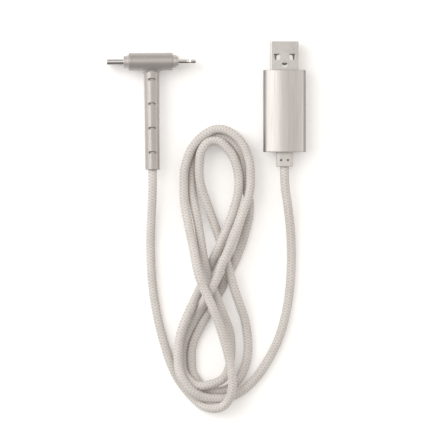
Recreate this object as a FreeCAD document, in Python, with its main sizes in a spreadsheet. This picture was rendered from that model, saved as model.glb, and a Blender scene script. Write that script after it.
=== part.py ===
import FreeCAD, Part
import math
import os
import re

import Sketcher

# Charging cable: a flat host plug in an oval barrel, a T-shaped head with an oval plug and a tab plug,
# and about one metre of braided cord wound into a hank of three figure-of-eight turns.
# Millimetres, +Z up. The origin is on the surface under the middle of the two ends.

Vec = FreeCAD.Vector
doc = FreeCAD.newDocument("ChargingCable")
sheet = doc.addObject("Spreadsheet::Sheet", "Size")

SIZES = (
    # cord
    ("cord_diameter", 3.8, "braided cord"),
    ("core_diameter", 3.4, "cord under its braid, where a plug grips it"),
    ("wire_diameter", 0.7, "each conductor with its insulation"),
    ("wire_cover", 0.5, "wires to the outside of the core"),
    ("fit", 0.05, "clearance all round between a piece and its seat"),
    # places of the two ends on the surface
    ("host_x", 33.1, "axis of the host plug"),
    ("host_y", 15.1, "front of the barrel"),
    ("tee_x", -23.58, "middle of the T head"),
    ("tee_y", 18.62, "middle of the T head"),
    ("tee_tilt", 0.5, "turn of the T head on the surface, degrees"),
    # host plug shell and its contact block
    ("shell_width", 12.0, "outside"),
    ("shell_height", 4.5, "outside"),
    ("shell_wall", 0.3, "sheet"),
    ("shell_corner", 0.6, "outside corner radius"),
    ("shell_reach", 12.1, "in front of the barrel"),
    ("shell_tail", 7.5, "inside the barrel"),
    ("window_width", 2.8, "latch windows, across"),
    ("window_length", 2.6, "latch windows, along"),
    ("window_spread", 6.5, "between window centres"),
    ("window_setback", 5.25, "tip to window"),
    ("window_corner", 0.4, "corner radius"),
    ("notch_width", 2.67, "notch in the top sheet"),
    ("notch_length", 1.95, "notch in the top sheet"),
    ("notch_setback", 9.0, "tip to notch"),
    ("notch_corner", 0.85, "corner radius"),
    ("block_height", 1.85, "contact block"),
    ("block_setback", 0.35, "tip of shell to block"),
    ("contact_width", 1.0, "host contact strips"),
    ("contact_thickness", 0.3, "host contact strips"),
    ("contact_outer_spread", 7.0, "between the two long strips"),
    ("contact_inner_spread", 2.0, "between the two short strips"),
    ("contact_outer_setback", 1.1, "front of block to long strips"),
    ("contact_inner_setback", 2.1, "front of block to short strips"),
    ("contact_tail", 1.8, "strips behind the shell"),
    # barrel
    ("barrel_width", 18.0, "outside"),
    ("barrel_depth", 10.0, "outside, so the barrel lies on the surface"),
    ("barrel_side_radius", 3.5, "radius of the two narrow sides"),
    ("barrel_wall", 0.9, "sleeve"),
    ("barrel_length", 34.8, "sleeve"),
    ("barrel_edge", 0.25, "rounding of the rims"),
    ("bezel_recess", 0.4, "rim to bezel"),
    ("bezel_thickness", 1.6, "front bezel"),
    ("wire_cavity", 12.5, "hollow behind the shell"),
    ("core_stub", 1.0, "core inside the hollow"),
    ("flange_thickness", 1.6, "strain relief inside the barrel"),
    ("flange_recess", 0.4, "rear rim to flange"),
    ("relief_width", 7.3, "strain relief outside the barrel"),
    ("relief_depth", 5.8, "strain relief outside the barrel"),
    ("relief_corner", 1.7, "strain relief outside the barrel"),
    ("relief_reach", 6.2, "strain relief outside the barrel"),
    ("relief_edge", 0.4, "rounding of its end"),
    ("dimple_diameter", 1.0, "dots on the strain relief"),
    ("dimple_depth", 0.5, "dots on the strain relief"),
    ("dimple_spread", 2.9, "between the dots"),
    ("dimple_setback", 3.4, "barrel to dots"),
    ("exit_clearance", 0.15, "round the cord where it leaves an end"),
    ("ferrule_length", 5.0, "crimp ferrules"),
    ("ferrule_wall", 0.45, "crimp ferrules"),
    # T head
    ("head_length", 18.8, "along the plugs"),
    ("head_face", 0.9, "head's faces past the collars"),
    ("head_side", 0.7, "head's round sides past the collars"),
    ("head_wall", 0.9, "moulded head"),
    ("head_edge", 0.5, "rounding of its ends"),
    ("stem_offset", 0.4, "middle of the head to the stem's axis, towards the tab plug"),
    ("stem_reach", 45.8, "middle of the head to the end of the stem"),
    ("stem_top_wall", 1.0, "stem round the ferrule's seat, at the head"),
    ("stem_end_wall", 1.0, "stem round the cord, at its end"),
    ("stem_fillet", 1.6, "between head and stem"),
    ("stem_edge", 0.3, "rounding of the stem's end"),
    ("slot_width", 3.1, "slots across the stem"),
    ("slot_height", 1.1, "slots, along the stem"),
    ("slot_depth", 0.85, "slots"),
    ("slot_first", 7.6, "middle of the head to the first slot"),
    ("slot_pitch", 10.3, "between slots"),
    ("slot_count", 4, "slots on each face"),
    ("spigot_length", 1.5, "collars inside the head"),
    ("oval_step_face", 1.35, "faces of the oval plug's outer step past the plug"),
    ("tab_step_face", 1.45, "faces of the tab plug's outer step past the plug"),
    ("step_side", 0.375, "round sides of both outer steps past the oval plug"),
    ("shoulder_face", 0.25, "faces of a collar past the oval plug's outer step"),
    ("shoulder_side", 0.3, "round sides of a collar past the outer steps"),
    ("collar_edge", 0.25, "rounding of the steps"),
    ("hollow_face", 0.5, "faces of the board's hollow past the oval plug"),
    ("hollow_side", 0.125, "round sides of the board's hollow past the oval plug"),
    ("mould_hole_diameter", 4.8, "way for the wires"),
    ("plug_tail", 2.4, "head's end to the tail of a plug inside it"),
    ("board_thickness", 0.8, "board"),
    ("board_width", 7.0, "board"),
    ("core_top", 7.0, "middle of the head to the core"),
    ("ferrule_top", 8.0, "middle of the head to the ferrule"),
    # oval plug
    ("oval_collar_length", 0.6, "collar"),
    ("oval_step_length", 1.45, "outer step"),
    ("oval_reach", 7.05, "in front of its collar"),
    ("oval_thickness", 2.4, "outside"),
    ("oval_width", 8.25, "outside"),
    ("oval_wall", 0.25, "sheet"),
    ("oval_edge", 0.18, "rounding of the mouth"),
    ("oval_insert_setback", 0.3, "mouth to insert"),
    ("oval_mouth_thickness", 1.1, "slot in the insert"),
    ("oval_mouth_length", 5.8, "slot in the insert"),
    ("oval_contact_pitch", 0.5, "contacts in a row"),
    ("oval_contact_width", 0.26, "contact"),
    ("oval_contact_thickness", 0.14, "contact"),
    ("oval_contact_length", 4.6, "contact"),
    ("oval_contact_count", 12, "contacts in a row"),
    ("latch_thickness", 0.3, "side latch"),
    ("latch_height", 0.7, "side latch"),
    ("latch_length", 3.6, "side latch"),
    ("latch_gap", 0.17, "outermost contact to latch"),
    # tab plug
    ("tab_collar_length", 1.5, "collar"),
    ("tab_step_length", 0.9, "outer step"),
    ("tab_reach", 7.4, "in front of its collar"),
    ("tab_thickness", 1.5, "outside"),
    ("tab_width", 6.7, "outside"),
    ("tab_edge", 0.55, "rounding of the tip"),
    ("scallop_setback", 2.95, "tip to the scallops"),
    ("scallop_length", 2.0, "scallops"),
    ("scallop_depth", 0.5, "scallops"),
    ("plate_length", 4.2, "insulating plate"),
    ("plate_side", 0.25, "scallops to the insulating plate"),
    ("plate_thickness", 0.35, "insulating plate"),
    ("plate_corner", 0.5, "insulating plate"),
    ("plate_setback", 0.95, "tip to plate"),
    ("pad_length", 2.9, "contact pads"),
    ("pad_width", 0.42, "contact pads"),
    ("pad_margin", 0.3, "side of the plate to the first pad"),
    ("pad_count", 8, "contact pads on each face"),
)
SIZE_NAMES = {name for name, number, note in SIZES}

for row, (name, number, note) in enumerate(SIZES, start=1):
    sheet.set("A%d" % row, name)
    sheet.set("B%d" % row, str(number))
    sheet.setAlias("B%d" % row, name)
    sheet.set("C%d" % row, note)
doc.recompute()


def value(text):
    """Number that a formula in size names stands for."""
    return float(sheet.evalExpression(text))


def formula(text):
    """The same formula, as other objects of the document refer to the sheet."""
    return re.sub(r"[a-z_]+", lambda m: "Size." + m.group() if m.group() in SIZE_NAMES else m.group(), text)


def bind(thing, prop, text):
    thing.setExpression(prop, formula(text))


# The T head grows outward from its thickest plug: collar step, collar, then the head itself.
OVAL_STEP_WIDTH = "(oval_thickness + 2 * oval_step_face)"
TAB_STEP_WIDTH = "(tab_thickness + 2 * tab_step_face)"
STEP_DEPTH = "(oval_width + 2 * step_side)"
COLLAR_WIDTH = "(%s + 2 * shoulder_face)" % OVAL_STEP_WIDTH
COLLAR_DEPTH = "(%s + 2 * shoulder_side)" % STEP_DEPTH
HEAD_WIDTH = "(%s + 2 * head_face)" % COLLAR_WIDTH
HEAD_DEPTH = "(%s + 2 * head_side)" % COLLAR_DEPTH

# Frames of the two ends, which lie on the surface, and of what the T head's stem holds.
HOST_FRAME = ("host_x", "host_y", "barrel_depth / 2", "0")
TEE_FRAME = ("tee_x", "tee_y", HEAD_DEPTH + " / 2", "tee_tilt")
STEM_FRAME = ("tee_x + stem_offset * cos(tee_tilt)", "tee_y + stem_offset * sin(tee_tilt)",
              HEAD_DEPTH + " / 2", "tee_tilt")


def frame_placement(frame):
    x, y, z, turn = (value(text) for text in frame)
    return FreeCAD.Placement(Vec(x, y, z), FreeCAD.Rotation(Vec(0, 0, 1), turn))


def seat(thing, frame):
    """Places a sub-part in the frame of its end."""
    thing.Placement = frame_placement(frame)
    for prop, text in zip(("x", "y", "z"), frame):
        bind(thing, "Placement.Base." + prop, text)
    if frame[3] != "0":
        bind(thing, "Placement.Rotation.Angle", frame[3])


nodes = []


def sub_part(thing, label, frame):
    thing.Label = label
    seat(thing, frame)
    nodes.append(thing)
    return thing


# Sketches

def plane_sketch(body, plane, offset="0"):
    """Sketch parallel to a plane of the body's origin, moved along the plane's normal."""
    sketch = body.newObject("Sketcher::SketchObject", body.Name + "_sketch")
    support = next(f for f in body.Origin.OriginFeatures if f.Role == plane)
    sketch.AttachmentSupport = (support, "")
    sketch.MapMode = "FlatFace"
    sketch.AttachmentOffset = FreeCAD.Placement(Vec(0, 0, value(offset)), FreeCAD.Rotation())
    bind(sketch, "AttachmentOffset.Base.z", offset)
    return sketch


def datum(sketch, kind, places, text):
    """A distance or radius bound to a formula."""
    if text == "0":
        axis = -2 if kind == "DistanceX" else -1
        sketch.addConstraint(Sketcher.Constraint("PointOnObject", places[2], places[3], axis))
        return
    index = sketch.addConstraint(Sketcher.Constraint(kind, *places, value(text)))
    sketch.setExpression("Constraints[%d]" % index, formula(text))


def at(sketch, item, point, x, y):
    """Holds a point of an item at x, y from the sketch's origin."""
    datum(sketch, "DistanceX", (-1, 1, item, point), x)
    datum(sketch, "DistanceY", (-1, 1, item, point), y)


def join_tangent(sketch, items):
    """Joins each item's end to the next one's start, smoothly and in a closed loop."""
    for item, following in zip(items, items[1:] + items[:1]):
        sketch.addConstraint(Sketcher.Constraint("Tangent", item, 2, following, 1))


def arc(centre, radius, start, end):
    circle = Part.Circle(centre, Vec(0, 0, 1), radius)
    return Part.ArcOfCircle(circle, math.radians(start), math.radians(end))


def circle(sketch, diameter, x="0", y="0"):
    shape = Part.Circle(Vec(value(x), value(y), 0), Vec(0, 0, 1), value(diameter) / 2)
    item = sketch.addGeometry(shape)
    at(sketch, item, 3, x, y)
    datum(sketch, "Radius", (item,), "(%s) / 2" % diameter)


def stadium(sketch, thickness, width, x="0", y="0", upright=True):
    """Slot outline with full-round ends, its long side along the sketch's Y, or X if not upright."""
    radius = value(thickness) / 2
    half = value(width) / 2 - radius
    centre = Vec(value(x), value(y), 0)
    if upright:
        first, side, turn = Vec(0, half, 0), Vec(radius, 0, 0), 0
    else:
        first, side, turn = Vec(-half, 0, 0), Vec(0, radius, 0), 90
    ends = [sketch.addGeometry(arc(centre + first, radius, turn, turn + 180))]
    sides = [sketch.addGeometry(Part.LineSegment(centre + first - side, centre - first - side))]
    ends.append(sketch.addGeometry(arc(centre - first, radius, turn + 180, turn + 360)))
    sides.append(sketch.addGeometry(Part.LineSegment(centre - first + side, centre + first + side)))
    join_tangent(sketch, [ends[0], sides[0], ends[1], sides[1]])
    for side in sides:
        sketch.addConstraint(Sketcher.Constraint("Vertical" if upright else "Horizontal", side))
    reach = "((%s) - (%s)) / 2" % (width, thickness)
    datum(sketch, "Radius", (ends[0],), "(%s) / 2" % thickness)
    if upright:
        at(sketch, ends[0], 3, x, "%s + %s" % (y, reach))
        datum(sketch, "DistanceY", (-1, 1, ends[1], 3), "%s - %s" % (y, reach))
    else:
        at(sketch, ends[0], 3, "%s - %s" % (x, reach), y)
        datum(sketch, "DistanceX", (-1, 1, ends[1], 3), "%s + %s" % (x, reach))


def rounded_box(sketch, width, height, corner, x="0", y="0"):
    """Rectangle with four equal round corners about a centre."""
    w, h, r = value(width) / 2, value(height) / 2, value(corner)
    cx, cy = value(x), value(y)
    arcs = []
    lines = []
    for turn, sx, sy in ((0, 1, 1), (90, -1, 1), (180, -1, -1), (270, 1, -1)):
        centre = Vec(cx + sx * (w - r), cy + sy * (h - r), 0)
        arcs.append(sketch.addGeometry(arc(centre, r, turn, turn + 90)))
        if turn in (0, 180):
            start = Vec(centre.x, centre.y + sy * r, 0)
            end = Vec(cx - sx * (w - r), start.y, 0)
        else:
            start = Vec(centre.x + sx * r, centre.y, 0)
            end = Vec(start.x, cy - sy * (h - r), 0)
        lines.append(sketch.addGeometry(Part.LineSegment(start, end)))
    join_tangent(sketch, [item for pair in zip(arcs, lines) for item in pair])
    for line, way in zip(lines, ("Horizontal", "Vertical", "Horizontal", "Vertical")):
        sketch.addConstraint(Sketcher.Constraint(way, line))
    for other in arcs[1:]:
        sketch.addConstraint(Sketcher.Constraint("Equal", arcs[0], other))
    datum(sketch, "Radius", (arcs[0],), corner)
    at(sketch, arcs[0], 3, "%s + (%s) / 2 - (%s)" % (x, width, corner),
       "%s + (%s) / 2 - (%s)" % (y, height, corner))
    at(sketch, arcs[2], 3, "%s - (%s) / 2 + (%s)" % (x, width, corner),
       "%s - (%s) / 2 + (%s)" % (y, height, corner))


def box_outline(sketch, width, height, x="0", y="0"):
    """Plain rectangle about a centre."""
    w, h = value(width) / 2, value(height) / 2
    middle = Vec(value(x), value(y), 0)
    corners = [middle + Vec(-w, -h, 0), middle + Vec(w, -h, 0), middle + Vec(w, h, 0), middle + Vec(-w, h, 0)]
    lines = [sketch.addGeometry(Part.LineSegment(a, b)) for a, b in zip(corners, corners[1:] + corners[:1])]
    for line, following in zip(lines, lines[1:] + lines[:1]):
        sketch.addConstraint(Sketcher.Constraint("Coincident", line, 2, following, 1))
    for line, way in zip(lines, ("Horizontal", "Vertical", "Horizontal", "Vertical")):
        sketch.addConstraint(Sketcher.Constraint(way, line))
    at(sketch, lines[0], 1, "%s - (%s) / 2" % (x, width), "%s - (%s) / 2" % (y, height))
    at(sketch, lines[2], 1, "%s + (%s) / 2" % (x, width), "%s + (%s) / 2" % (y, height))


def crowned_oval(sketch, inset="0"):
    """Barrel outline of four tangent arcs, drawn in by an inset: round sides and crowned faces."""
    width = "(barrel_width / 2 - (%s))" % inset
    depth = "(barrel_depth / 2 - (%s))" % inset
    side = "(barrel_side_radius - (%s))" % inset
    reach = "(barrel_width / 2 - barrel_side_radius)"
    crown = "(%s ^ 2 + %s ^ 2 - %s ^ 2) / (2 * (%s - %s))" % (reach, depth, side, depth, side)
    r, big, x = value(side), value(crown), value(reach)
    low = value(depth) - big
    lean = math.degrees(math.atan2(-low, x))
    right = sketch.addGeometry(arc(Vec(x, 0, 0), r, -lean, lean))
    top = sketch.addGeometry(arc(Vec(0, low, 0), big, lean, 180 - lean))
    left = sketch.addGeometry(arc(Vec(-x, 0, 0), r, 180 - lean, 180 + lean))
    bottom = sketch.addGeometry(arc(Vec(0, -low, 0), big, 180 + lean, 360 - lean))
    join_tangent(sketch, [right, top, left, bottom])
    at(sketch, right, 3, reach, "0")
    at(sketch, left, 3, "-" + reach, "0")
    for item, text in ((right, side), (left, side), (top, crown), (bottom, crown)):
        datum(sketch, "Radius", (item,), text)


# Features

def new_body(name):
    return doc.addObject("PartDesign::Body", name)


def pad(body, sketch, length, reverse=False, both=False):
    feature = body.newObject("PartDesign::Pad", body.Name + "_pad")
    feature.Profile = sketch
    feature.SideType = "Symmetric" if both else "One side"
    feature.Reversed = reverse
    bind(feature, "Length", length)
    doc.recompute()
    return feature


def pocket(body, sketch, length, reverse=False, both=False):
    """Cuts a sketch out of the body, and stops if nothing was cut."""
    before = body.Shape.Volume
    feature = body.newObject("PartDesign::Pocket", body.Name + "_pocket")
    feature.Profile = sketch
    feature.SideType = "Symmetric" if both else "One side"
    feature.Reversed = reverse
    bind(feature, "Length", length)
    doc.recompute()
    if body.Shape.Volume > before - 1e-6:
        raise RuntimeError(feature.Name + " cuts nothing")
    return feature


def flat_edges(shape, axis, place, reach=0.001):
    """Names of the edges that lie in one plane across an axis."""
    names = []
    for number, edge in enumerate(shape.Edges, start=1):
        box = edge.BoundBox
        low, high = getattr(box, axis + "Min"), getattr(box, axis + "Max")
        if abs(low - place) < reach and abs(high - place) < reach:
            names.append("Edge%d" % number)
    return names


def fillet(body, base, names, radius):
    feature = body.newObject("PartDesign::Fillet", body.Name + "_fillet")
    feature.Base = (base, names)
    bind(feature, "Radius", radius)
    doc.recompute()
    return feature


def box_block(name, corner, dims):
    """Plain block from its low corner and its three dims, each a formula."""
    block = doc.addObject("Part::Box", name)
    for prop, text in zip(("Length", "Width", "Height"), dims):
        bind(block, prop, text)
    for prop, text in zip(("x", "y", "z"), corner):
        bind(block, "Placement.Base." + prop, text)
    return block


def group(name, things):
    compound = doc.addObject("Part::Compound", name)
    compound.Links = things
    return compound


# Tubes along a route

def rounded_route(points):
    """Straight runs and tangent arcs through hand-placed points, each arc as large as its runs allow."""
    edges = []
    radii = []
    last = points[0]
    for before, corner, after in zip(points, points[1:], points[2:]):
        inward, outward = corner - before, after - corner
        cut = 0.45 * min(inward.Length, outward.Length)
        half_turn = inward.getAngle(outward) / 2
        radii.append(cut / math.tan(half_turn))
        start = corner - inward.normalize() * cut
        end = corner + outward.normalize() * cut
        to_centre = (end + start - corner * 2).normalize()
        middle = corner + to_centre * (radii[-1] / math.cos(half_turn) - radii[-1])
        edges.append(Part.LineSegment(last, start).toShape())
        edges.append(Part.Arc(start, middle, end).toShape())
        last = end
    edges.append(Part.LineSegment(last, points[-1]).toShape())
    return Part.Wire(edges), radii


def tube(path, start, heading, diameter):
    ring = Part.Wire([Part.Circle(start, heading, diameter / 2).toShape()])
    return path.makePipeShell([ring], True, False)


def report_tube(name, shape, path, radii, diameter):
    section = math.pi * diameter ** 2 / 4
    print("%s: length %.1f, least radius %.1f, volume ratio %.4f" % (
        name, path.Length, min(radii), shape.Volume / (section * path.Length)))


# Host plug: steel shell, contact block, contact strips

def host_shell():
    body = new_body("host_shell")
    sketch = plane_sketch(body, "XZ_Plane", "-shell_reach")
    rounded_box(sketch, "shell_width", "shell_height", "shell_corner")
    rounded_box(sketch, "shell_width - 2 * shell_wall", "shell_height - 2 * shell_wall",
                "shell_corner - shell_wall")
    pad(body, sketch, "shell_reach + shell_tail")
    windows = plane_sketch(body, "XY_Plane")
    for side in ("window_spread / 2", "-window_spread / 2"):
        rounded_box(windows, "window_width", "window_length", "window_corner", side,
                    "shell_reach - window_setback - window_length / 2")
    pocket(body, windows, "2 * shell_height", both=True)
    notch = plane_sketch(body, "XY_Plane")
    rounded_box(notch, "notch_width", "notch_length", "notch_corner", "0",
                "shell_reach - notch_setback - notch_length / 2")
    pocket(body, notch, "shell_height", reverse=True)
    return sub_part(body, "host_shell", HOST_FRAME)


BLOCK_TOP = "(shell_height / 2 - shell_wall)"
BLOCK_FRONT = "(shell_reach - block_setback)"
STRIPS = (
    ("contact_outer_spread / 2", "contact_outer_setback"),
    ("contact_inner_spread / 2", "contact_inner_setback"),
    ("-contact_inner_spread / 2", "contact_inner_setback"),
    ("-contact_outer_spread / 2", "contact_outer_setback"),
)


def host_contact_block():
    body = new_body("host_contact_block")
    sketch = plane_sketch(body, "XZ_Plane", "-" + BLOCK_FRONT)
    box_outline(sketch, "shell_width - 2 * shell_corner", "block_height", "0",
                BLOCK_TOP + " - block_height / 2")
    pad(body, sketch, BLOCK_FRONT + " + shell_tail")
    grooves = plane_sketch(body, "XY_Plane", BLOCK_TOP + " - block_height")
    for x, setback in STRIPS:
        length = "(%s - %s + shell_tail)" % (BLOCK_FRONT, setback)
        box_outline(grooves, "contact_width", length, x, length + " / 2 - shell_tail")
    pocket(body, grooves, "contact_thickness", reverse=True)
    return sub_part(body, "host_contact_block", HOST_FRAME)


def host_contacts():
    strips = []
    for number, (x, setback) in enumerate(STRIPS, start=1):
        length = "%s - %s + shell_tail + contact_tail" % (BLOCK_FRONT, setback)
        corner = (x + " - contact_width / 2", "-shell_tail - contact_tail", BLOCK_TOP + " - block_height")
        strips.append(box_block("host_strip_%d" % number, corner,
                                ("contact_width", length, "contact_thickness")))
    return sub_part(group("host_contacts", strips), "host_contacts", HOST_FRAME)


# Host barrel and what it holds

CORD_BORE = "(cord_diameter + 2 * exit_clearance)"
CORE_BORE = "(core_diameter + 2 * fit)"
FERRULE = "(%s + 2 * ferrule_wall)" % CORE_BORE
FERRULE_SEAT = "(%s + 2 * fit)" % FERRULE
SLEEVE_SEAT = "barrel_wall + fit"
MOULD_FRONT = "(bezel_recess + bezel_thickness)"
MOULD_REAR = "(barrel_length - flange_recess - flange_thickness)"
CAVITY_REAR = "(shell_tail + wire_cavity)"


def barrel_sleeve():
    body = new_body("barrel_sleeve")
    sketch = plane_sketch(body, "XZ_Plane")
    crowned_oval(sketch)
    crowned_oval(sketch, "barrel_wall")
    tube_pad = pad(body, sketch, "barrel_length")
    rims = flat_edges(tube_pad.Shape, "Y", 0) + flat_edges(tube_pad.Shape, "Y", -value("barrel_length"))
    fillet(body, tube_pad, rims, "barrel_edge")
    return sub_part(body, "barrel_sleeve", HOST_FRAME)


def host_front_bezel():
    body = new_body("host_front_bezel")
    sketch = plane_sketch(body, "XZ_Plane", "bezel_recess")
    crowned_oval(sketch, SLEEVE_SEAT)
    rounded_box(sketch, "shell_width + 2 * fit", "shell_height + 2 * fit", "shell_corner + fit")
    pad(body, sketch, "bezel_thickness")
    return sub_part(body, "host_front_bezel", HOST_FRAME)


def host_inner_mould():
    body = new_body("host_inner_mould")
    sketch = plane_sketch(body, "XZ_Plane", MOULD_FRONT)
    crowned_oval(sketch, SLEEVE_SEAT)
    pad(body, sketch, MOULD_REAR + " - " + MOULD_FRONT)
    tail = plane_sketch(body, "XZ_Plane", MOULD_FRONT)
    rounded_box(tail, "shell_width + 2 * fit", "shell_height + 2 * fit", "shell_corner + fit")
    pocket(body, tail, "shell_tail - " + MOULD_FRONT, reverse=True)
    cavity = plane_sketch(body, "XZ_Plane", MOULD_FRONT)
    rounded_box(cavity, "shell_width - 2 * shell_corner", "shell_height - 2 * shell_wall", "shell_corner")
    pocket(body, cavity, CAVITY_REAR + " - " + MOULD_FRONT, reverse=True)
    ferrule = plane_sketch(body, "XZ_Plane", MOULD_FRONT)
    circle(ferrule, FERRULE_SEAT)
    pocket(body, ferrule, CAVITY_REAR + " + ferrule_length - " + MOULD_FRONT, reverse=True)
    bore = plane_sketch(body, "XZ_Plane", MOULD_FRONT)
    circle(bore, CORE_BORE)
    pocket(body, bore, "barrel_length", reverse=True)
    return sub_part(body, "host_inner_mould", HOST_FRAME)


def host_strain_relief():
    body = new_body("host_strain_relief")
    sketch = plane_sketch(body, "XZ_Plane", MOULD_REAR)
    crowned_oval(sketch, SLEEVE_SEAT)
    pad(body, sketch, "flange_thickness")
    boss = plane_sketch(body, "XZ_Plane", MOULD_REAR + " + flange_thickness")
    rounded_box(boss, "relief_width", "relief_depth", "relief_corner")
    boss_pad = pad(body, boss, "flange_recess + relief_reach")
    end = flat_edges(boss_pad.Shape, "Y", -value("barrel_length + relief_reach"))
    fillet(body, boss_pad, end, "relief_edge")
    bore = plane_sketch(body, "XZ_Plane", MOULD_REAR)
    circle(bore, CORD_BORE)
    pocket(body, bore, "barrel_length", reverse=True)
    for face, inward in (("relief_depth / 2", False), ("-relief_depth / 2", True)):
        dots = plane_sketch(body, "XY_Plane", face)
        for x in ("dimple_spread / 2", "-dimple_spread / 2"):
            circle(dots, "dimple_diameter", x, "-barrel_length - dimple_setback")
        pocket(body, dots, "dimple_depth", reverse=inward)
    return sub_part(body, "host_strain_relief", HOST_FRAME)


def rod(name, frame, plane_offset, length, outer, inner=None):
    """Rod or ring along the end's own Y, from an offset towards -Y."""
    body = new_body(name)
    sketch = plane_sketch(body, "XZ_Plane", plane_offset)
    circle(sketch, outer)
    if inner:
        circle(sketch, inner)
    pad(body, sketch, length)
    return sub_part(body, name, frame)


def host_cord_core():
    front = CAVITY_REAR + " - core_stub"
    rod("host_cord_core", HOST_FRAME, front, "barrel_length + relief_reach - (%s)" % front, "core_diameter")


def host_crimp_ferrule():
    rod("host_crimp_ferrule", HOST_FRAME, CAVITY_REAR, "ferrule_length", FERRULE, CORE_BORE)


def wire_group(name, frame, routes):
    """Insulated wires, each a tube through its own points in the end's frame."""
    diameter = value("wire_diameter")
    wires = []
    for points in routes:
        path, radii = rounded_route(points)
        wires.append(tube(path, points[0], points[1] - points[0], diameter))
    feature = doc.addObject("Part::Feature", name)
    feature.Shape = Part.makeCompound(wires)
    sub_part(feature, name, frame)


def core_corners():
    """Places of the four wires in the core, as seen along the core."""
    spread = value("(core_diameter - wire_diameter) / 2 - wire_cover")
    return [(sx * spread, sz * spread) for sx, sz in ((1, 1), (1, -1), (-1, -1), (-1, 1))]


def host_wires():
    rear = -value(CAVITY_REAR + " - core_stub")
    front = -value("shell_tail + contact_tail")
    bend = (rear - front) / 4
    strip_z = value(BLOCK_TOP + " - block_height + contact_thickness / 2")
    routes = []
    for (x, z), (strip_x, setback) in zip(core_corners(), STRIPS):
        end_x = value(strip_x)
        routes.append([Vec(x, rear, z), Vec(x, rear - bend, z), Vec(end_x, front + bend, strip_z),
                       Vec(end_x, front, strip_z)])
    wire_group("host_wires", HOST_FRAME, routes)


# T head

HEAD_BORE_WIDTH = "(%s - 2 * head_wall)" % HEAD_WIDTH
HEAD_BORE_DEPTH = "(%s - 2 * head_wall)" % HEAD_DEPTH
PLUG_TAIL_END = "(head_length / 2 - plug_tail)"
STEM_TOP = "(%s / 2 + stem_top_wall)" % FERRULE_SEAT
STEM_END = "(%s / 2 + stem_end_wall)" % CORD_BORE


def stem_profile(body):
    """Half section of the stem, turned about its own axis: a slow taper from the head to the cord."""
    sketch = plane_sketch(body, "XY_Plane")
    bind(sketch, "AttachmentOffset.Base.x", "stem_offset")
    top, end, reach = value(STEM_TOP), value(STEM_END), value("stem_reach")
    corners = [Vec(0, 0, 0), Vec(top, 0, 0), Vec(end, -reach, 0), Vec(0, -reach, 0)]
    lines = [sketch.addGeometry(Part.LineSegment(a, b)) for a, b in zip(corners, corners[1:] + corners[:1])]
    for line, following in zip(lines, lines[1:] + lines[:1]):
        sketch.addConstraint(Sketcher.Constraint("Coincident", line, 2, following, 1))
    sketch.addConstraint(Sketcher.Constraint("Coincident", lines[0], 1, -1, 1))
    for line, way in ((lines[0], "Horizontal"), (lines[2], "Horizontal"), (lines[3], "Vertical")):
        sketch.addConstraint(Sketcher.Constraint(way, line))
    datum(sketch, "DistanceX", (-1, 1, lines[0], 2), STEM_TOP)
    datum(sketch, "DistanceX", (-1, 1, lines[1], 2), STEM_END)
    datum(sketch, "DistanceY", (-1, 1, lines[1], 2), "-stem_reach")
    return sketch


def join_edges(shape, reach=0.05):
    """Edges where the stem meets the head: on the stem's side, below the head's middle."""
    names = []
    stem, face, offset = value(STEM_TOP), value(HEAD_WIDTH + " / 2"), value("stem_offset")
    for number, edge in enumerate(shape.Edges, start=1):
        points = edge.discretize(7)
        on_stem = all(abs(math.hypot(p.x - offset, p.z) - stem) < reach for p in points)
        below = all(-face - reach < p.y < -reach for p in points)
        if on_stem and below:
            names.append("Edge%d" % number)
    return names


def tee_body():
    body = new_body("tee_body")
    sketch = plane_sketch(body, "YZ_Plane")
    stadium(sketch, HEAD_WIDTH, HEAD_DEPTH)
    head = pad(body, sketch, "head_length", both=True)
    half = value("head_length / 2")
    ends = fillet(body, head, flat_edges(head.Shape, "X", half) + flat_edges(head.Shape, "X", -half),
                  "head_edge")
    turned = body.newObject("PartDesign::Revolution", "tee_stem")
    turned.Profile = stem_profile(body)
    turned.ReferenceAxis = (turned.Profile[0], ["V_Axis"])
    turned.Angle = 360
    doc.recompute()
    if turned.Shape.Volume <= ends.Shape.Volume:
        raise RuntimeError("the stem adds nothing")
    neck = fillet(body, turned, join_edges(turned.Shape), "stem_fillet")
    tip = flat_edges(neck.Shape, "Y", -value("stem_reach"))
    fillet(body, neck, tip, "stem_edge")
    hollow = plane_sketch(body, "YZ_Plane")
    stadium(hollow, HEAD_BORE_WIDTH, HEAD_BORE_DEPTH)
    pocket(body, hollow, "2 * head_length", both=True)
    seat_sketch = plane_sketch(body, "XZ_Plane")
    circle(seat_sketch, FERRULE_SEAT, "stem_offset")
    pocket(body, seat_sketch, "ferrule_top + ferrule_length", reverse=True)
    bore = plane_sketch(body, "XZ_Plane")
    circle(bore, CORD_BORE, "stem_offset")
    pocket(body, bore, "2 * stem_reach", reverse=True)
    slots = []
    for face, inward in ((STEM_TOP, False), ("-" + STEM_TOP, True)):
        outline = plane_sketch(body, "XY_Plane", face)
        stadium(outline, "slot_height", "slot_width", "stem_offset", "-slot_first", upright=False)
        slots.append(pocket(body, outline, "slot_depth", reverse=inward))
    row = body.newObject("PartDesign::LinearPattern", "tee_slots")
    row.Originals = slots
    row.Direction = (next(f for f in body.Origin.OriginFeatures if f.Role == "Y_Axis"), [""])
    row.Reversed = True
    bind(row, "Length", "slot_pitch * (slot_count - 1)")
    bind(row, "Occurrences", "slot_count")
    body.Tip = row
    doc.recompute()
    return sub_part(body, "tee_body", TEE_FRAME)


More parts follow.
